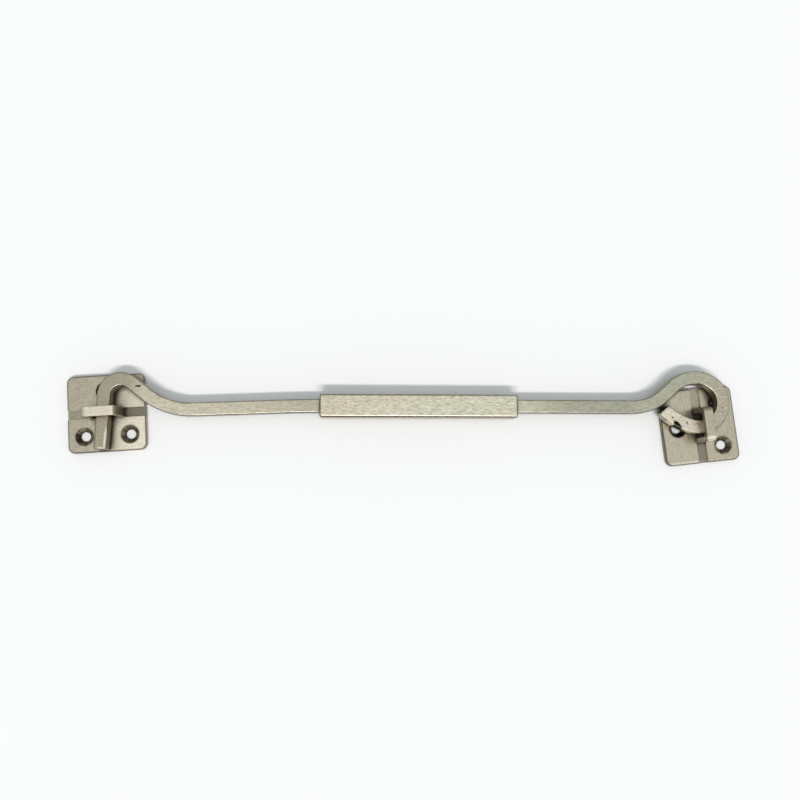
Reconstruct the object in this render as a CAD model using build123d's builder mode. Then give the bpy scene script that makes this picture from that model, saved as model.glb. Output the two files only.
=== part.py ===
from build123d import *

import math
import os

# Cabin hook stay, in millimetres. The origin is on the axis that the eye turns about, at the height of
# the plates' backs: +X runs away from the hook, along the bar, and +Z away from the surface behind.

# Square bar
bar_width = 7.0
bar_edge = 0.7
bar_clear = 0.3

# Eye: a teardrop of tangent arcs, measured on the bar's centre line
eye_radius = 12.9
eye_turn = 169.4
tail_radius = 27.9
tail_gap = 2.37
tail_round = 0.65
shoulder_radius = 17.6
shoulder_turn = 62.4
neck_run = 5.9
neck_bend_radius = 24.6
neck_turn = 43.6
eye_run = 62.2

# Grip sleeve on the middle of the bar
sleeve_length = 103.0
sleeve_width = 12.0
sleeve_edge = 1.1
sleeve_end_round = 0.9
sleeve_clear = 0.05

# Hook: a shallow set, a long rise, a short ramp and a tight crook into the shank, which leans outward
hook_set = 2.1
set_radius = 400.0
hook_run = 50.7
rise_radius = 36.85
rise_turn = 40.8
ramp_run = 9.2
crook_radius = 8.3
shank_lean = 2.3
shank_length = 28.4
tip_width = 6.5
tip_edge = 1.0
tip_round = 0.8

# Screw plates
plate_size = 40.0
plate_thickness = 3.0
plate_corner = 3.5
plate_edge = 0.35
groove_depth = 1.0
screw_hole = 5.0
sink_diameter = 9.5
sink_angle = 90.0
screw_inset = 8.4
single_screw_shift = -0.5

# Staples: flat strip turned square over the bar, feet in the plate's groove
strip_width = 5.0
strip_thickness = 3.0
strip_edge = 0.45
strip_clear = 0.05
staple_play = 2.6
staple_headroom = 4.5
staple_corner = 2.7
staple_inner_corner = 0.6

# Where the plates lie: the eye's is placed from the swing axis, the keeper's from the shank
eye_plate_bearing = -79.3
eye_sag = 0.8
eye_plate_turn = 96.2
keeper_plate_turn = 3.7
tip_past_staple = 19.1

# Heights that follow from the sizes above
bar_bottom = plate_thickness + bar_clear
bar_height = bar_bottom + bar_width / 2
foot_height = plate_thickness - groove_depth
bridge_under = bar_bottom + bar_width + staple_headroom
bridge_top = bridge_under + strip_thickness
leg_inside = bar_width / 2 + staple_play
leg_outside = leg_inside + strip_thickness


def onward(line, length):
    """The point at the given length past the end of a line, along its end tangent."""
    return line @ 1 + (line % 1) * length


def turn_to_circle(arc_centre, arc_start, stop_centre, stop_radius):
    """The degrees that an arc turns through from its start before it meets the stop circle."""
    to_start = arc_start - arc_centre
    to_stop = stop_centre - arc_centre
    radius = to_start.length
    reach = to_stop.length
    meeting = (radius**2 + reach**2 - stop_radius**2) / (2 * radius * reach)
    return to_start.get_angle(to_stop) - math.degrees(math.acos(meeting))


def square_section(origin, normal, width, edge):
    """A rounded square standing across the bar, with its sides level and upright."""
    with BuildSketch(Plane(origin, x_dir=(0, 0, 1), z_dir=normal)) as section:
        RectangleRounded(width, width, edge)
    return section.sketch


def screw_plate(seat):
    """A plate with its back on the seat plane, its groove along x and its single screw on the +y side."""
    face = seat.offset(plate_thickness)
    screw_row = plate_size / 2 - screw_inset
    screws = [(-screw_row, -screw_row), (screw_row, -screw_row), (single_screw_shift, screw_row)]
    with BuildPart() as plate:
        with BuildSketch(seat):
            RectangleRounded(plate_size, plate_size, plate_corner)
        extrude(amount=plate_thickness)
        fillet(plate.faces().sort_by(Axis.Z)[-1].edges(), plate_edge)
        with BuildSketch(face):
            Rectangle(plate_size, strip_width + 2 * strip_clear)
        extrude(amount=-groove_depth, mode=Mode.SUBTRACT)
        with Locations(*[face.from_local_coords(screw) for screw in screws]):
            CounterSinkHole(screw_hole / 2, sink_diameter / 2, counter_sink_angle=sink_angle)
    return plate.part


def staple(seat):
    """A strip turned square over the bar: up one leg, across the bridge and down the other."""
    corners = [
        (-leg_outside, foot_height),
        (-leg_outside, bridge_top),
        (leg_outside, bridge_top),
        (leg_outside, foot_height),
        (leg_inside, foot_height),
        (leg_inside, bridge_under),
        (-leg_inside, bridge_under),
        (-leg_inside, foot_height),
    ]
    with BuildPart() as strip:
        with BuildSketch(Plane(seat.origin, x_dir=seat.x_dir, z_dir=-seat.y_dir)) as profile:
            with BuildLine():
                Polyline(*corners, close=True)
            make_face()
            fillet(profile.vertices().group_by(Axis.Y)[1], staple_inner_corner)
            fillet(profile.vertices().group_by(Axis.Y)[-1], staple_corner)
        extrude(amount=strip_width / 2, both=True)
        sides = strip.faces().filter_by(Axis((0, 0, 0), seat.y_dir))
        fillet(sides.edges().group_by(Axis.Z)[1:], strip_edge)
    return strip.part


# The rod's centre line, from the eye's tail round to the top of the shank
with BuildLine() as rod_line:
    eye_start = 90 + neck_turn - shoulder_turn
    eye = CenterArc((0, 0, bar_height), eye_radius, eye_start, -eye_turn)
    shoulder = JernArc(eye @ 0, -(eye % 0), shoulder_radius, shoulder_turn)
    neck = Line(shoulder @ 1, onward(shoulder, neck_run))
    neck_bend = JernArc(neck @ 1, neck % 1, neck_bend_radius, -neck_turn)
    # The tail stops a set gap short of the neck's bend
    tail_centre = eye @ 1 + (eye.arc_center - eye @ 1) * (tail_radius / eye_radius)
    tail_stop = neck_bend_radius + bar_width / 2 + tail_gap
    tail_turn = turn_to_circle(tail_centre, eye @ 1, neck_bend.arc_center, tail_stop)
    tail = JernArc(eye @ 1, eye % 1, tail_radius, -tail_turn)
    eye_bar = Line(neck_bend @ 1, onward(neck_bend, eye_run))
    sleeve_bar = Line(eye_bar @ 1, onward(eye_bar, sleeve_length))
    set_bend = JernArc(sleeve_bar @ 1, sleeve_bar % 1, set_radius, hook_set)
    hook_bar = Line(set_bend @ 1, onward(set_bend, hook_run))
    rise = JernArc(hook_bar @ 1, hook_bar % 1, rise_radius, -rise_turn)
    ramp = Line(rise @ 1, onward(rise, ramp_run))
    crook = JernArc(ramp @ 1, ramp % 1, crook_radius, 90 - shank_lean - hook_set + rise_turn)

rod_wire = rod_line.wire()
shank_top = crook @ 1
shank_tip = onward(crook, shank_length)

with BuildPart() as hook_rod:
    sweep(square_section(rod_wire @ 0, rod_wire % 0, bar_width, bar_edge), path=rod_wire)
    loft(
        [
            square_section(shank_top, crook % 1, bar_width, bar_edge),
            square_section(shank_tip, crook % 1, tip_width, tip_edge),
        ]
    )
    fillet(hook_rod.faces().sort_by_distance(shank_tip)[0].edges(), tip_round)
    fillet(hook_rod.faces().sort_by_distance(tail @ 1)[0].edges(), tail_round)

with BuildPart() as grip_sleeve:
    with BuildSketch(Plane(eye_bar @ 1, x_dir=(0, 0, 1), z_dir=eye_bar % 1)):
        RectangleRounded(sleeve_width, sleeve_width, sleeve_edge)
        RectangleRounded(
            bar_width + 2 * sleeve_clear, bar_width + 2 * sleeve_clear, bar_edge, mode=Mode.SUBTRACT
        )
    extrude(amount=sleeve_length)
    sleeve_ends = grip_sleeve.faces().sort_by(Axis.X)
    fillet([*sleeve_ends[0].outer_wire().edges(), *sleeve_ends[-1].outer_wire().edges()], sleeve_end_round)

# The two plates lie on one plane, each with its staple
eye_reach = eye_radius - eye_sag
eye_plate_x = eye_reach * math.cos(math.radians(eye_plate_bearing))
eye_plate_y = eye_reach * math.sin(math.radians(eye_plate_bearing))
eye_seat = Plane((eye_plate_x, eye_plate_y, 0)).rotated((0, 0, eye_plate_turn))
keeper_middle = onward(crook, shank_length - tip_past_staple)
keeper_seat = Plane((keeper_middle.X, keeper_middle.Y, 0)).rotated((0, 0, keeper_plate_turn))

pieces = {
    "eye_plate": screw_plate(eye_seat),
    "eye_staple": staple(eye_seat),
    "keeper_plate": screw_plate(keeper_seat),
    "keeper_staple": staple(keeper_seat),
    "hook_rod": hook_rod.part,
    "grip_sleeve": grip_sleeve.part,
}

os.makedirs("parts", exist_ok=True)
for name, piece in pieces.items():
    piece.label = name
    export_step(piece, f"parts/{name}.step")
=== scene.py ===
import math
from typing import NamedTuple

import bpy
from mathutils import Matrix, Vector


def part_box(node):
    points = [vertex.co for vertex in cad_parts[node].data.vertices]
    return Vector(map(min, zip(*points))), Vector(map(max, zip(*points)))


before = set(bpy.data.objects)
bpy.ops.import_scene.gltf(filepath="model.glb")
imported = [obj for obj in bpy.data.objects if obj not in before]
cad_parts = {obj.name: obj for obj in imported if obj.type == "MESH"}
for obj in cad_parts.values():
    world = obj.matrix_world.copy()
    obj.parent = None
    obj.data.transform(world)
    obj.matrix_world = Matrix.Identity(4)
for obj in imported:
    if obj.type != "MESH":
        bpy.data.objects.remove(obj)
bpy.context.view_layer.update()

MM_PER_M = 1000.0


class Finish(NamedTuple):
    """How a node's nickel is brushed, and how much painted shade it takes.

    The turn is in degrees, the gain is a factor on the brightness, and the other numbers are shares of 1.
    """

    brush_turn: float
    gain: float
    streaks: float
    flecks: float
    green: float
    edges: float
    walls: float
    painted_near_edge: bool = False


class PlatePaintedLight(NamedTuple):
    """Where a plate has its painted highlight, in millimetres along and across its groove, and how strongly.
    """

    highlight_along: tuple
    highlight_across: tuple
    highlight_shares: tuple
    fray: float
    guard: float
    groove_shades: tuple


class Spot(NamedTuple):
    """An ellipse in plan, in millimetres and degrees."""

    centre: tuple
    half_length: float
    half_width: float
    turn: float = 0.0


def top_of(node):
    """The height of a node's highest point, in millimetres."""
    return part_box(node)[1].z * MM_PER_M


def middle_of(node):
    """The middle of a node's box, in millimetres."""
    low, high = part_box(node)
    return (low + high) / 2 * MM_PER_M


# Camera at the photograph's angle: almost straight above the middle of the bar. The places of the camera, the
# lamps and the floor are in metres.
CAMERA_PLACE = (-0.17683, -0.04122, 0.4275)
CAMERA_TILT_DEG = (5.71, -2.52, 0.0)
CAMERA_LENS_MM = 36.3
CAMERA_SENSOR_MM = 36.0
CAMERA_CLIP_START = 0.01

# Light: two long, narrow lamps in one place, high up on the near side, and a dome. Only one of the lamps is
# mirrored in the metal, so that the flat tops take more of their tone from the dome.
KEY_TARGET = (-0.15, 0.0, 0.0)
KEY_ELEVATION_DEG = 62.5
KEY_DISTANCE = 100.0
KEY_LENGTH_DEG = 28.0
KEY_WIDTH_DEG = 4.5
KEY_COLOUR = (1.0, 0.955, 0.925)
KEY_STRENGTHS = {"key": 0.84, "key_for_the_floor": 0.79}
MIRRORED_KEY = "key"

# Dome, bright overhead and round the horizon: the height, from 0 at the horizon to 1 straight above, and the
# brightness there
DOME_STEPS = [
    (0.0, 0.95),
    (0.3, 0.92),
    (0.45, 0.36),
    (0.8, 0.47),
    (0.92, 0.66),
    (0.95, 0.72),
    (0.985, 0.92),
    (1.0, 1.0),
]
DOME_TINT = (0.93, 1.0, 1.025)
HORIZON_TINT = (1.0, 1.0, 1.0)
HORIZON_TOP = 0.4
NEW_STEP_HEIGHT = 0.5

# Floor of plain pale paper
FLOOR_HALF_SIDE = 3.0
FLOOR_DROP = 0.0001
FLOOR_COLOUR = (0.98, 0.985, 0.985, 1.0)
FLOOR_ROUGHNESS = 0.9

# Satin nickel: a warm tone and a greener one in soft patches under the brushed grain, with painted highlights
# in places, and painted shade in hollows, on edges that turn over and on walls
NICKEL_WARM = (0.645, 0.55, 0.415, 1.0)
NICKEL_GREEN = (0.59, 0.575, 0.43, 1.0)
# Painted highlight: on the plates, the groove walls, the staples, the tail and the shank
NICKEL_HIGHLIGHT = (0.98, 0.89, 0.73, 1.0)
NICKEL_BRIGHT = (0.96, 0.91, 0.80, 1.0)
NICKEL_HOOK = (0.49, 0.41, 0.295, 1.0)
# Painted highlight along the near edge of the bar and the sleeve
NICKEL_NEAR_EDGE_HIGHLIGHT = (0.68, 0.67, 0.61, 1.0)
# Painted shade: in hollows, on edges that turn over, on walls, inside the eye and near the screw holes
NICKEL_SHADE = (0.045, 0.037, 0.025, 1.0)
# Painted shade on the groove floor
GROOVE_SHADE = (0.27, 0.24, 0.185, 1.0)
SINK_DARK = (0.19, 0.16, 0.11, 1.0)
# Painted reflections that streak the countersinks
SINK_REFLECTION = (0.55, 0.49, 0.37, 1.0)
# Painted shade along the rim of each plate's face
RIM_SHADE = (0.15, 0.145, 0.11, 1.0)
STAIN_COLOUR = (0.03, 0.024, 0.016, 1.0)

# How each node is finished: the brushing runs along the groove of each plate, and along the bar
FINISHES = {
    "eye_plate": Finish(
        brush_turn=96.2, gain=1.12, streaks=0.16, flecks=0.15, green=0.3, edges=0.9, walls=0.72
    ),
    "keeper_plate": Finish(
        brush_turn=3.7, gain=0.95, streaks=0.16, flecks=0.15, green=0.3, edges=0.9, walls=0.72
    ),
    "eye_staple": Finish(
        brush_turn=96.2, gain=1.05, streaks=0.16, flecks=0.15, green=0.3, edges=0.75, walls=0.75
    ),
    "keeper_staple": Finish(
        brush_turn=3.7, gain=1.05, streaks=0.16, flecks=0.15, green=0.3, edges=0.75, walls=0.75
    ),
    "hook_rod": Finish(
        brush_turn=0.0, gain=1.02, streaks=0.20, flecks=0.15, green=0.8, edges=0.75, walls=0.45,
        painted_near_edge=True,
    ),
    "grip_sleeve": Finish(
        brush_turn=0.0, gain=1.14, streaks=0.32, flecks=0.5, green=0.8, edges=0.75, walls=0.45,
        painted_near_edge=True,
    ),
}

# Noise: scales are per millimetre, along the brush and across it where there are three, and a range is the
# stretch of the noise that makes a difference
NOISE_DETAIL = 3.0
LOW_DETAIL = 2.0
LOWEST_DETAIL = 1.0
NOISE_ROUGHNESS = 0.55
NOISE_RANGE = (0.3, 0.7)

# Brushed grain: strokes and hairlines, and paler flecks on them
STROKE_SCALE = (0.40, 1.9, 1.9)
STROKE_DETAIL = 4.0
STROKE_ROUGHNESS = 0.65
STROKE_SHARE = 0.6
HAIRLINE_SCALE = (0.30, 5.0, 5.0)
HAIRLINE_SHARE = 0.4
STREAK_RANGE = (0.4, 0.6)
FLECK_SCALE = (0.5, 2.4, 2.4)
FLECK_RANGE = (0.54, 0.68)
ROUGHNESS_RANGE = (0.22, 0.34)
BRUSH_STRETCH = 0.35
GRAIN_DEPTH = 0.35
GRAIN_HEIGHT_M = 0.00006

# Patches of the greener tone, which gathers towards the eye: it comes in over the first stretch of
# millimetres along the part and goes again over the second
PATCH_SCALE = 0.12
PATCH_RANGE = (0.38, 0.72)
GREEN_PULL = 0.3
GREEN_FROM = (-185.0, -70.0)
GREEN_TO = (-2.0, 8.0)

# Painted highlights, and spots
HIGHLIGHT_STREAK_RANGE = (0.42, 0.54)
HIGHLIGHT_STREAKS = (0.5, 1.0)
HIGHLIGHT_ROUGHNESS = 0.53
SPOT_FADE = (1.15, 0.85)
RAGGED_SCALE = 1.3
RAGGED_DEPTH = (-0.25, 0.25)

# Sharp edges are a little brighter, in specks, and hollows take painted shade. A place that is guarded takes
# only a share of that painted shade.
EDGE_RADIUS_M = 0.0004
EDGE_SAMPLES = 6
EDGE_FACING = (0.93, 0.83)
EDGE_SHARE = 0.2
SPECK_SCALE = 1.6
SPECK_DEPTH = -0.06
HOLLOW_REACH_M = 0.005
HOLLOW_SAMPLES = 8
HOLLOW_OPENNESS = (0.78, 0.48)
HOLLOW_SHARE = 0.97
SHADE_ROUGHNESS = 0.2
GUARDED_SHARE = 0.25

# A surface's level is 1 where it lies flat and 0 where it stands upright. Rounded edges take painted shade as
# they turn over, and the near edge of the bar and the sleeve has a painted highlight line with a painted
# shade line under it. The near side is told by the Y of the normal.
TURNING_LEVELS = (0.985, 0.80)
WALL_LEVELS = (0.35, 0.1)
NEAR_SIDE = (-0.02, -0.12)
NEAR_HIGHLIGHT_FROM = (0.997, 0.975)
NEAR_HIGHLIGHT_TO = (0.93, 0.80)
NEAR_HIGHLIGHT_SHARE = 0.8
NEAR_SHADE_FROM = (0.90, 0.74)
NEAR_SHADE_TO = (0.3, 0.15)
NEAR_SHADE_SHARE = 0.95

# Screw plates, in millimetres: places are measured from the middle of each plate, along its groove and across
PLATE_FACE = top_of("eye_plate")
PLATE_HALF = 20.0
PLATE_CORNER = 3.5
RIM_WIDTH = 0.55
RIM_BLUR = (-0.2, 0.1)
RIM_DEPTHS = (0.5, 0.3)
RIM_SHADE_SHARE = 0.85
GROOVE_HALF_WIDTH = 2.55
GROOVE_BLUR = 0.15
GROOVE_DEPTHS = (0.05, 0.4)
GROOVE_SHADE_ALONG = (-6.0, 6.0)
GROOVE_WALL_FADE = (0.1, 0.03)
GROOVE_WALL_HIGHLIGHT_SHARE = 0.9
STAPLE_REACH = 9.1
STAPLE_BLUR = 2.0
GUARD_ALONG = (6.0, 11.0)
SCREW_ROW = 11.6
SINGLE_SCREW_SHIFT = -0.5
SCREWS = [(-SCREW_ROW, -SCREW_ROW), (SCREW_ROW, -SCREW_ROW), (SINGLE_SCREW_SHIFT, SCREW_ROW)]
SINK_RADIUS = 4.8
SINK_SHADE_RADIUS = 3.1
SINK_SHADE_SHARE = 0.6
SINK_REFLECTION_STREAKS = 2.2
SINK_REFLECTION_RANGE = (0.46, 0.66)

# The eye plate has a painted highlight along its near edge, and the keeper on the half that lies towards the
# eye
PLATE_PAINTED_LIGHT = {
    "eye_plate": PlatePaintedLight(
        highlight_along=(-18.2, -18.7),
        highlight_across=(-3.0, 3.0),
        highlight_shares=(0.25, 1.0),
        fray=0.0,
        guard=0.0,
        groove_shades=(0.8, 0.3),
    ),
    "keeper_plate": PlatePaintedLight(
        highlight_along=(1.0, 9.0),
        highlight_across=(6.0, -3.0),
        highlight_shares=(0.75, 1.0),
        fray=1.0,
        guard=0.5,
        groove_shades=(0.45, 1.0),
    ),
}

# Staples: how strong the painted highlight on the top of each bridge is, and the bend of the eye's that has a
# painted highlight too
BRIDGE_TOP = top_of("eye_staple")
BRIDGE_DEPTHS = (0.9, 0.1)
BRIDGE_HIGHLIGHTS = {"eye_staple": 0.1, "keeper_staple": 0.8}
EYE_STAPLE_BEND_HIGHLIGHT = Spot((3.0, -19.3), 2.6, 1.6, 6.0)

# Painted sheen along the rod: the place in millimetres and the brightness there
ROD_SHEEN = {
    "crook": (-300.0, 0.91),
    "ramp": (-290.0, 1.11),
    "rise": (-269.0, 1.13),
    "hook_end_of_sleeve": (-207.0, 0.84),
    "eye_end_of_sleeve": (-96.0, 1.08),
    "bar": (-71.0, 0.83),
    "neck": (-40.0, 0.84),
    "shoulder": (-28.0, 0.98),
    "start_of_eye": (-14.0, 0.98),
    "middle_of_eye": (0.0, 1.07),
}
# The darker hook by its place along the rod, the rod's heights, and the painted shade inside the eye by its
# distance from the axis that the eye turns about, in millimetres
HOOK_ALONG = (-292.0, -299.0)
HOOK_SHARE = 0.55
ROD_TOP = top_of("hook_rod")
ROD_TOP_DEPTHS = (0.9, 0.2)
ROD_MIDDLE_HEIGHT = middle_of("hook_rod").z
EYE_INSIDE_RADII = (9.9, 9.5)
EYE_INSIDE_SHADE_SHARE = 0.75

# Painted highlights, pits and dark marks on the rod's upper face
TAIL_HIGHLIGHT = Spot((-9.5, -10.3), 13.0, 6.0, -21.0)
SHANK_HIGHLIGHTS = {
    "edge": Spot((-308.9, -20.5), 6.0, 0.9, 88.0),
    "end": Spot((-310.6, -25.0), 2.2, 0.9),
}
SHANK_HIGHLIGHT_SHARE = 0.8
PIT_SCALE = 1.6
PIT_RANGE = (0.63, 0.70)
PIT_SHARE = 0.75
CROWD_SCALE = 0.38
CROWD_DEPTH = (-0.12, 0.12)
ROD_MARKS = {
    "hook_nick": Spot((-293.1, 7.2), 1.5, 0.45, 4.0),
    "tail_chip": Spot((-12.0, -12.4), 3.0, 1.5, -52.0),
    "tail_pit": Spot((-14.6, -8.1), 0.5, 0.4),
    "staple_pit": Spot((-1.2, -11.5), 0.3, 0.25),
    "ring_dot": Spot((12.3, -3.0), 0.35, 0.3),
    "lower_ring_dot": Spot((12.5, -5.1), 0.3, 0.3),
}
STAIN_ROUGHNESS = 0.35

# Grip sleeve: where it ends, in millimetres, and the brightness of its painted sheen at both ends
SLEEVE_ENDS = tuple(corner.x * MM_PER_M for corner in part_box("grip_sleeve"))
SLEEVE_SHEEN = (0.91, 1.05)


def add(tree, kind, inputs=None, **settings):
    """A new node. An input that is given a socket is linked to it, and any other is set."""
    made = tree.nodes.new(kind)
    for name, value in settings.items():
        setattr(made, name, value)
    for name, value in (inputs or {}).items():
        if isinstance(value, bpy.types.NodeSocket):
            tree.links.new(value, made.inputs[name])
        else:
            made.inputs[name].default_value = value
    return made


def math_of(tree, operation, first, second=0.0):
    """The result of an operation on one or two numbers."""
    return add(tree, "ShaderNodeMath", {0: first, 1: second}, operation=operation).outputs[0]


def product(tree, first, *others):
    """All the numbers multiplied."""
    for other in others:
        first = math_of(tree, "MULTIPLY", first, other)
    return first


def strongest(tree, first, *others):
    """The largest of several masks."""
    for other in others:
        first = math_of(tree, "MAXIMUM", first, other)
    return first


def vector_of(tree, operation, first, second=(0.0, 0.0, 0.0)):
    """The vector from an operation on one or two vectors."""
    return add(tree, "ShaderNodeVectorMath", {0: first, 1: second}, operation=operation).outputs["Vector"]


def number_of(tree, operation, first, second=(0.0, 0.0, 0.0)):
    """The number from an operation on one or two vectors."""
    return add(tree, "ShaderNodeVectorMath", {0: first, 1: second}, operation=operation).outputs["Value"]


def scaled(tree, vector, factor):
    """The vector or colour times a number."""
    inputs = {0: vector, "Scale": factor}
    return add(tree, "ShaderNodeVectorMath", inputs, operation="SCALE").outputs["Vector"]


def flattened(tree, vector):
    """The vector with no height."""
    return vector_of(tree, "MULTIPLY", vector, (1.0, 1.0, 0.0))


def turned(tree, vector, turn_deg):
    """The vector turned about the Z axis."""
    inputs = {"Vector": vector, "Angle": math.radians(turn_deg)}
    return add(tree, "ShaderNodeVectorRotate", inputs, rotation_type="Z_AXIS").outputs[0]


def parts_of(tree, vector):
    """The vector's X, Y and Z."""
    split = add(tree, "ShaderNodeSeparateXYZ", {0: vector})
    return split.outputs["X"], split.outputs["Y"], split.outputs["Z"]


def remap(tree, value, source, target=(0.0, 1.0)):
    """The value taken from the source range to the target range, and held inside it."""
    ends = {"From Min": source[0], "From Max": source[1], "To Min": target[0], "To Max": target[1]}
    return add(tree, "ShaderNodeMapRange", {"Value": value, **ends}).outputs[0]


def below(limit, depths):
    """The values that lie at the given depths under a limit."""
    return [limit - depth for depth in depths]


def blend_colours(tree, factor, first, second):
    """The first colour where the factor is 0, and the second where it is 1.

    The node's sockets share names, so its inputs go by number.
    """
    return add(tree, "ShaderNodeMix", {0: factor, 6: first, 7: second}, data_type="RGBA").outputs[2]


def blend_values(tree, factor, first, second):
    """The first number where the factor is 0, and the second where it is 1.

    The node's sockets share names, so its inputs go by number.
    """
    return add(tree, "ShaderNodeMix", {0: factor, 2: first, 3: second}).outputs[0]


def noise(tree, vector, scale, detail=NOISE_DETAIL, roughness=NOISE_ROUGHNESS):
    """Soft noise about 0.5."""
    inputs = {"Vector": vector, "Scale": scale, "Detail": detail, "Roughness": roughness}
    return add(tree, "ShaderNodeTexNoise", inputs).outputs["Fac"]


def stretched_noise(tree, vector, scale, detail=LOW_DETAIL, roughness=NOISE_ROUGHNESS):
    """Soft noise with a scale of its own for each axis."""
    mapped = add(tree, "ShaderNodeMapping", {"Vector": vector, "Scale": scale}).outputs[0]
    return noise(tree, mapped, 1.0, detail, roughness)


def spot_mask(tree, place, spot, ragged=0.0):
    """1 inside a spot and 0 outside it, at every height, with a ragged edge if one is given."""
    shifted = vector_of(tree, "SUBTRACT", place, (*spot.centre, 0.0))
    level = turned(tree, shifted, -spot.turn)
    rounded = vector_of(tree, "MULTIPLY", level, (1 / spot.half_length, 1 / spot.half_width, 0.0))
    reach = number_of(tree, "LENGTH", rounded)
    return remap(tree, math_of(tree, "ADD", reach, ragged), SPOT_FADE)


def add_painted_highlight(tree, mask, grain, colour, roughness):
    """The colour and roughness with a painted highlight on the masked places, in streaks along the grain."""
    mask = product(tree, mask, remap(tree, grain, HIGHLIGHT_STREAK_RANGE, HIGHLIGHT_STREAKS))
    colour = blend_colours(tree, mask, colour, NICKEL_HIGHLIGHT)
    return colour, blend_values(tree, mask, roughness, HIGHLIGHT_ROUGHNESS)


def plate_highlight(tree, along, across, ragged, plate_light):
    """The place of a plate's painted highlight, stronger on one side of its groove than on the other."""
    frayed = math_of(tree, "ADD", along, product(tree, ragged, plate_light.fray))
    half = remap(tree, across, plate_light.highlight_across, plate_light.highlight_shares)
    return product(tree, remap(tree, frayed, plate_light.highlight_along), half)


def paint_groove(tree, along, across, height, darks, colour):
    """The colour with painted shade on the groove's floor and a painted highlight on its walls, and a mask of
    it past the staple's legs.
    """
    from_line = math_of(tree, "ABSOLUTE", across)
    inside = remap(tree, from_line, (GROOVE_HALF_WIDTH + GROOVE_BLUR, GROOVE_HALF_WIDTH))
    in_groove = product(tree, inside, remap(tree, height, below(PLATE_FACE, GROOVE_DEPTHS)))
    # Painted shade on the groove floor, stronger on one side of the staple
    floor = product(tree, in_groove, remap(tree, along, GROOVE_SHADE_ALONG, darks))
    colour = blend_colours(tree, floor, colour, GROOVE_SHADE)
    # A painted highlight on the groove walls
    wall = remap(tree, from_line, below(GROOVE_HALF_WIDTH, GROOVE_WALL_FADE), (0.0, GROOVE_WALL_HIGHLIGHT_SHARE))
    colour = blend_colours(tree, product(tree, in_groove, wall), colour, NICKEL_HIGHLIGHT)
    from_bridge = math_of(tree, "ABSOLUTE", along)
    past_legs = remap(tree, from_bridge, (STAPLE_REACH, STAPLE_REACH + STAPLE_BLUR))
    return colour, product(tree, in_groove, past_legs)


def sink_shade_and_reflection(tree, own, centre):
    """The tone of a turned countersink: dark, with painted reflections in streaks that fan out from its
    middle, and painted shade near the hole.
    """
    from_middle = vector_of(tree, "SUBTRACT", own, (*centre, 0.0))
    outward = vector_of(tree, "NORMALIZE", flattened(tree, from_middle))
    fan = noise(tree, vector_of(tree, "ADD", outward, (*centre, 0.0)), SINK_REFLECTION_STREAKS, LOW_DETAIL)
    tone = blend_colours(tree, remap(tree, fan, SINK_REFLECTION_RANGE), SINK_DARK, SINK_REFLECTION)
    near_hole = spot_mask(tree, own, Spot(centre, SINK_SHADE_RADIUS, SINK_SHADE_RADIUS))
    return blend_colours(tree, product(tree, near_hole, SINK_SHADE_SHARE), tone, NICKEL_SHADE)


def paint_sinks(tree, own, colour, guard):
    """The colour with the countersinks in their dark tone with painted reflections and painted shade, and the
    guard with their places added.
    """
    for centre in SCREWS:
        sink = spot_mask(tree, own, Spot(centre, SINK_RADIUS, SINK_RADIUS))
        colour = blend_colours(tree, sink, colour, sink_shade_and_reflection(tree, own, centre))
        guard = strongest(tree, guard, sink)
    return colour, guard


def plate_rim(tree, own, height):
    """1 along the rim of a plate's face, round its corners too, and 0 inside it."""
    inner = PLATE_HALF - PLATE_CORNER
    outward = vector_of(tree, "ABSOLUTE", own)
    outward = vector_of(tree, "SUBTRACT", outward, (inner, inner, 0.0))
    outward = vector_of(tree, "MAXIMUM", outward)
    reach = number_of(tree, "LENGTH", flattened(tree, outward))
    rim = remap(tree, reach, [PLATE_CORNER - RIM_WIDTH + blur for blur in RIM_BLUR])
    return product(tree, rim, remap(tree, height, below(PLATE_FACE, RIM_DEPTHS)))


# A paint takes a place in millimetres, a ragged edge, the grain and the look so far. It gives the colour and
# the roughness, and a guard that is 1 where a place is guarded from painted shade.
def paint_plate(plate):
    """A plate's own tones: its painted highlight, its groove, its countersinks and the painted shade along
    its rim.
    """
    plate_light = PLATE_PAINTED_LIGHT[plate]
    middle = middle_of(plate)

    def paint(tree, place, ragged, grain, colour, roughness):
        from_middle = vector_of(tree, "SUBTRACT", place, (middle.x, middle.y, 0.0))
        own = turned(tree, from_middle, -FINISHES[plate].brush_turn)
        along, across, height = parts_of(tree, own)
        # A painted highlight on the plate
        painted_shine = plate_highlight(tree, along, across, ragged, plate_light)
        colour, roughness = add_painted_highlight(tree, painted_shine, grain, colour, roughness)
        colour, guard = paint_groove(tree, along, across, height, plate_light.groove_shades, colour)
        colour, guard = paint_sinks(tree, own, colour, guard)
        guard = strongest(tree, guard, remap(tree, along, GUARD_ALONG, (0.0, plate_light.guard)))
        # Painted shade along the rim
        rim = product(tree, plate_rim(tree, own, height), RIM_SHADE_SHARE)
        return blend_colours(tree, rim, colour, RIM_SHADE), roughness, guard

    return paint


def paint_staple(painted_shine, bends=()):
    """A staple's own tones: a painted highlight on the top of its bridge, and on any bend that is given."""

    def paint(tree, place, ragged, grain, colour, roughness):
        height = parts_of(tree, place)[2]
        bridge = remap(tree, height, below(BRIDGE_TOP, BRIDGE_DEPTHS), (0.0, painted_shine))
        highlight_mask = strongest(tree, bridge, *[spot_mask(tree, place, bend, ragged) for bend in bends])
        return *add_painted_highlight(tree, highlight_mask, grain, colour, roughness), highlight_mask

    return paint


def sheen_along(tree, along, stops):
    """The brightness that goes in straight steps from stop to stop."""
    tone = stops[0][1]
    for (start, first), (end, last) in zip(stops, stops[1:]):
        tone = math_of(tree, "ADD", remap(tree, along, (start, end), (0.0, last - first)), tone)
    return tone


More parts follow.
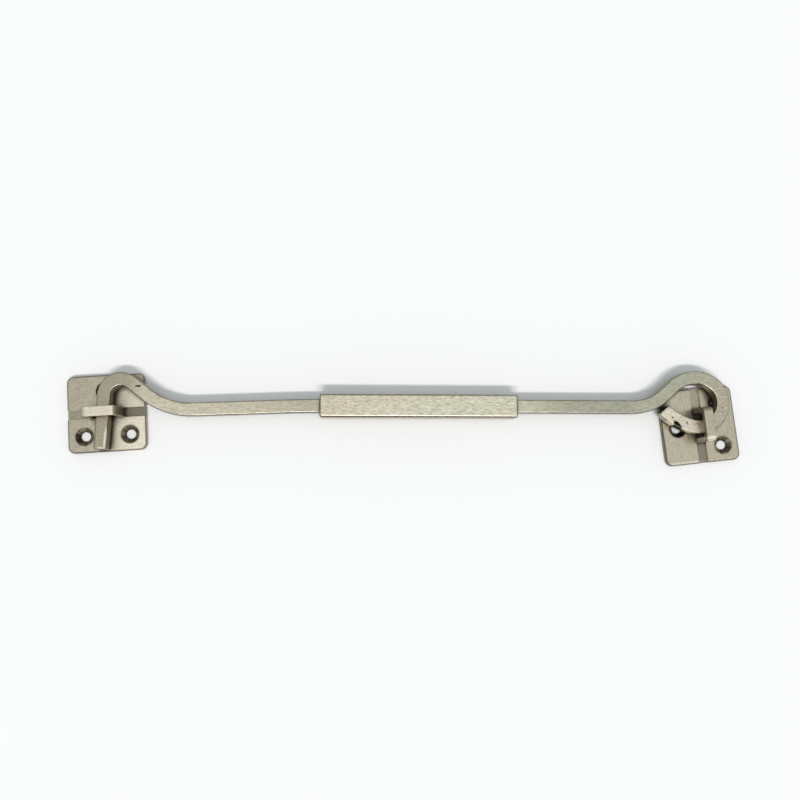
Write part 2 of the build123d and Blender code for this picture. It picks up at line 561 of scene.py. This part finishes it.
def pit_mask(tree, place):
    """Small pits that crowd together in some places and thin out in others."""
    crowds = remap(tree, noise(tree, place, CROWD_SCALE, LOWEST_DETAIL), NOISE_RANGE, CROWD_DEPTH)
    pits = math_of(tree, "ADD", noise(tree, place, PIT_SCALE, LOW_DETAIL), crowds)
    return remap(tree, pits, PIT_RANGE, (0.0, PIT_SHARE))


def paint_rod(tree, place, ragged, grain, colour, roughness):
    """The rod's own tones: a painted sheen along it, painted shade inside the eye, painted highlights, pits
    and dark marks.
    """
    along, _, height = parts_of(tree, place)
    hook = remap(tree, along, HOOK_ALONG, (0.0, HOOK_SHARE))
    colour = blend_colours(tree, hook, colour, NICKEL_HOOK)
    # Painted sheen: brighter and darker stretches along the rod
    colour = scaled(tree, colour, sheen_along(tree, along, list(ROD_SHEEN.values())))
    # Painted shade on the inside of the eye
    from_axis = number_of(tree, "LENGTH", flattened(tree, place))
    inside = remap(tree, from_axis, EYE_INSIDE_RADII, (0.0, EYE_INSIDE_SHADE_SHARE))
    colour = blend_colours(tree, inside, colour, NICKEL_SHADE)

    # Painted highlights on the top of the tail and at the shank's end
    on_top = remap(tree, height, below(ROD_TOP, ROD_TOP_DEPTHS))
    tail = product(tree, spot_mask(tree, place, TAIL_HIGHLIGHT, ragged), on_top)
    shank = strongest(tree, *[spot_mask(tree, place, painted_shine, ragged) for painted_shine in SHANK_HIGHLIGHTS.values()])
    highlight_mask = strongest(tree, tail, product(tree, shank, on_top, SHANK_HIGHLIGHT_SHARE))
    colour, roughness = add_painted_highlight(tree, highlight_mask, grain, colour, roughness)

    marks = [spot_mask(tree, place, mark, ragged) for mark in ROD_MARKS.values()]
    stains = strongest(tree, product(tree, pit_mask(tree, place), tail), *marks)
    stains = product(tree, stains, math_of(tree, "GREATER_THAN", height, ROD_MIDDLE_HEIGHT))
    colour = blend_colours(tree, stains, colour, STAIN_COLOUR)
    roughness = math_of(tree, "ADD", roughness, product(tree, stains, STAIN_ROUGHNESS))
    return colour, roughness, highlight_mask


def paint_sleeve(tree, place, ragged, grain, colour, roughness):
    """The sleeve's painted sheen: a little brighter towards the eye, and no place that is guarded."""
    along = parts_of(tree, place)[0]
    return scaled(tree, colour, remap(tree, along, SLEEVE_ENDS, SLEEVE_SHEEN)), roughness, 0.0


def brushed_grain(tree, along_brush):
    """Strokes and finer hairlines along the brush."""
    strokes = stretched_noise(tree, along_brush, STROKE_SCALE, STROKE_DETAIL, STROKE_ROUGHNESS)
    hairlines = stretched_noise(tree, along_brush, HAIRLINE_SCALE)
    coarse = product(tree, strokes, STROKE_SHARE)
    fine = product(tree, hairlines, HAIRLINE_SHARE)
    return math_of(tree, "ADD", coarse, fine)


def brushed_tone(tree, place, along_brush, grain, finish):
    """The nickel's colour: patches of two tones, streaked by the grain, with paler flecks."""
    along = parts_of(tree, place)[0]
    towards_eye = remap(tree, along, GREEN_FROM)
    before_eye = remap(tree, along, GREEN_TO, (1.0, 0.0))
    pull = product(tree, towards_eye, before_eye, GREEN_PULL * finish.green)
    greener = math_of(tree, "ADD", noise(tree, place, PATCH_SCALE), pull)
    greener = remap(tree, greener, PATCH_RANGE, (0.0, finish.green))
    tone = blend_colours(tree, greener, NICKEL_WARM, NICKEL_GREEN)
    shades = (finish.gain * (1.0 - finish.streaks), finish.gain * (1.0 + finish.streaks))
    streaked = scaled(tree, tone, remap(tree, grain, STREAK_RANGE, shades))
    flecks = remap(tree, stretched_noise(tree, along_brush, FLECK_SCALE), FLECK_RANGE, (0.0, finish.flecks))
    return blend_colours(tree, flecks, streaked, NICKEL_BRIGHT)


def brighten_edges(tree, place, normal, colour):
    """The colour with sharp edges a little brighter, in specks."""
    eased = add(tree, "ShaderNodeBevel", {"Radius": EDGE_RADIUS_M}, samples=EDGE_SAMPLES).outputs[0]
    facing = number_of(tree, "DOT_PRODUCT", normal, eased)
    specks = product(tree, noise(tree, place, SPECK_SCALE, LOWEST_DETAIL), SPECK_DEPTH)
    edge = remap(tree, math_of(tree, "ADD", facing, specks), EDGE_FACING, (0.0, EDGE_SHARE))
    return blend_colours(tree, edge, colour, NICKEL_BRIGHT)


def painted_shade(tree, level, finish):
    """How much painted shade each place takes: in hollows, on edges that turn over, and on walls."""
    reach = {"Distance": HOLLOW_REACH_M}
    openness = add(tree, "ShaderNodeAmbientOcclusion", reach, samples=HOLLOW_SAMPLES).outputs["AO"]
    hollow = remap(tree, openness, HOLLOW_OPENNESS, (0.0, HOLLOW_SHARE))
    turning = remap(tree, level, TURNING_LEVELS, (0.0, finish.edges))
    wall = remap(tree, level, WALL_LEVELS, (1.0, finish.walls / finish.edges))
    return strongest(tree, hollow, product(tree, turning, wall))


def between_levels(tree, level, start, end, share):
    """The share where the level has passed the start and not yet the end, and 0 elsewhere."""
    begun = remap(tree, level, start, (0.0, share))
    return product(tree, begun, remap(tree, level, end, (1.0, 0.0)))


def painted_near_edge_lines(tree, level):
    """The painted highlight line along the near edge, and the painted shade line under it."""
    own_normal = add(tree, "ShaderNodeTexCoord").outputs["Normal"]
    near_side = remap(tree, parts_of(tree, own_normal)[1], NEAR_SIDE)
    highlight = between_levels(tree, level, NEAR_HIGHLIGHT_FROM, NEAR_HIGHLIGHT_TO, NEAR_HIGHLIGHT_SHARE)
    shade = between_levels(tree, level, NEAR_SHADE_FROM, NEAR_SHADE_TO, NEAR_SHADE_SHARE)
    return product(tree, near_side, highlight), product(tree, near_side, shade)


def brush_tangent(tree, normal, brush_turn):
    """The direction across the brush on the surface, which the highlights stretch along."""
    turn = math.radians(brush_turn)
    brush = {"Vector": (math.cos(turn), math.sin(turn), 0.0)}
    spaces = {"convert_from": "OBJECT", "convert_to": "WORLD"}
    in_world = add(tree, "ShaderNodeVectorTransform", brush, vector_type="VECTOR", **spaces).outputs[0]
    return vector_of(tree, "CROSS_PRODUCT", normal, in_world)


def satin_nickel(node, finish, paint):
    """Brushed nickel for a node: the brushed tone, the node's own paint, then its edges and its painted
    shade.
    """
    material = bpy.data.materials.new(f"{node}_nickel")
    material.use_nodes = True
    tree = material.node_tree

    place = scaled(tree, add(tree, "ShaderNodeTexCoord").outputs["Object"], MM_PER_M)
    along_brush = turned(tree, place, -finish.brush_turn)
    grain = brushed_grain(tree, along_brush)
    ragged = remap(tree, noise(tree, place, RAGGED_SCALE), NOISE_RANGE, RAGGED_DEPTH)
    colour = brushed_tone(tree, place, along_brush, grain, finish)
    roughness = remap(tree, grain, NOISE_RANGE, ROUGHNESS_RANGE)
    colour, roughness, guard = paint(tree, place, ragged, grain, colour, roughness)

    normal = add(tree, "ShaderNodeNewGeometry").outputs["Normal"]
    level = math_of(tree, "ABSOLUTE", parts_of(tree, normal)[2])
    colour = brighten_edges(tree, place, normal, colour)
    # Painted shade in hollows, on edges that turn over and on walls
    shade = painted_shade(tree, level, finish)
    # A painted highlight line along the near edge, and a painted shade line under it
    if finish.painted_near_edge:
        highlight_line, shade_line = painted_near_edge_lines(tree, level)
        colour = blend_colours(tree, highlight_line, colour, NICKEL_NEAR_EDGE_HIGHLIGHT)
        shade = strongest(tree, shade, shade_line)
    shade = product(tree, shade, remap(tree, guard, (0.0, 1.0), (1.0, GUARDED_SHARE)))
    colour = blend_colours(tree, shade, colour, NICKEL_SHADE)
    roughness = math_of(tree, "ADD", roughness, product(tree, shade, SHADE_ROUGHNESS))
    relief = {"Height": grain, "Strength": GRAIN_DEPTH, "Distance": GRAIN_HEIGHT_M}

    shader = tree.nodes["Principled BSDF"]
    shader.inputs["Metallic"].default_value = 1.0
    shader.inputs["Anisotropic"].default_value = BRUSH_STRETCH
    tree.links.new(colour, shader.inputs["Base Color"])
    tree.links.new(roughness, shader.inputs["Roughness"])
    tree.links.new(add(tree, "ShaderNodeBump", relief).outputs[0], shader.inputs["Normal"])
    tree.links.new(brush_tangent(tree, normal, finish.brush_turn), shader.inputs["Tangent"])
    return material


def make_floor():
    """A square of pale paper just under the plates."""
    mesh = bpy.data.meshes.new("floor")
    side = FLOOR_HALF_SIDE
    corners = [(x, y, -FLOOR_DROP) for x, y in [(-side, -side), (side, -side), (side, side), (-side, side)]]
    mesh.from_pydata(corners, [], [(0, 1, 2, 3)])
    floor = bpy.data.objects.new("floor", mesh)
    bpy.context.scene.collection.objects.link(floor)
    paper = bpy.data.materials.new("paper")
    paper.use_nodes = True
    shader = paper.node_tree.nodes["Principled BSDF"]
    shader.inputs["Base Color"].default_value = FLOOR_COLOUR
    shader.inputs["Roughness"].default_value = FLOOR_ROUGHNESS
    shader.inputs["Specular IOR Level"].default_value = 0.0
    mesh.materials.append(paper)


def key_span(angle_deg):
    """The length that fills an angle, seen from the lamp's target."""
    return 2 * KEY_DISTANCE * math.tan(math.radians(angle_deg / 2))


def make_key(name, strength):
    """A long lamp that lies along the part, far off and high up on the near side."""
    lamp = bpy.data.lights.new(name, "AREA")
    lamp.energy = strength * math.pi * KEY_DISTANCE**2
    lamp.shape = "RECTANGLE"
    lamp.size = key_span(KEY_LENGTH_DEG)
    lamp.size_y = key_span(KEY_WIDTH_DEG)
    lamp.color = KEY_COLOUR
    key = bpy.data.objects.new(name, lamp)
    elevation = math.radians(KEY_ELEVATION_DEG)
    towards_key = Vector((0.0, -math.cos(elevation), math.sin(elevation)))
    key.location = Vector(KEY_TARGET) + towards_key * KEY_DISTANCE
    key.rotation_euler = towards_key.to_track_quat("Z", "Y").to_euler()
    key.visible_glossy = name == MIRRORED_KEY
    bpy.context.scene.collection.objects.link(key)


def make_world():
    """A dome of soft light, slightly cool above the horizon."""
    world = bpy.data.worlds.new("studio")
    bpy.context.scene.world = world
    world.use_nodes = True
    tree = world.node_tree
    direction = add(tree, "ShaderNodeTexCoord").outputs["Generated"]
    dome = add(tree, "ShaderNodeValToRGB", {0: parts_of(tree, direction)[2]})
    steps = dome.color_ramp.elements
    # New steps start at one height, and each is then moved to its own
    while len(steps) < len(DOME_STEPS):
        steps.new(NEW_STEP_HEIGHT)
    for step, (height, brightness) in zip(steps, DOME_STEPS):
        step.position = height
        tints = DOME_TINT if height > HORIZON_TOP else HORIZON_TINT
        step.color = (*[brightness * tint for tint in tints], 1.0)
    tree.links.new(dome.outputs[0], tree.nodes["Background"].inputs["Color"])


def make_camera():
    """The camera at the photograph's angle."""
    data = bpy.data.cameras.new("camera")
    data.lens = CAMERA_LENS_MM
    data.sensor_width = CAMERA_SENSOR_MM
    data.clip_start = CAMERA_CLIP_START
    camera = bpy.data.objects.new("camera", data)
    camera.location = CAMERA_PLACE
    camera.rotation_euler = [math.radians(angle) for angle in CAMERA_TILT_DEG]
    bpy.context.scene.collection.objects.link(camera)
    bpy.context.scene.camera = camera


paints = {
    "eye_plate": paint_plate("eye_plate"),
    "keeper_plate": paint_plate("keeper_plate"),
    "eye_staple": paint_staple(BRIDGE_HIGHLIGHTS["eye_staple"], [EYE_STAPLE_BEND_HIGHLIGHT]),
    "keeper_staple": paint_staple(BRIDGE_HIGHLIGHTS["keeper_staple"]),
    "hook_rod": paint_rod,
    "grip_sleeve": paint_sleeve,
}
for node, finish in FINISHES.items():
    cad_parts[node].data.materials[0] = satin_nickel(node, finish, paints[node])

make_floor()
for name, strength in KEY_STRENGTHS.items():
    make_key(name, strength)
make_world()
make_camera()
bpy.context.scene.view_settings.view_transform = "Standard"
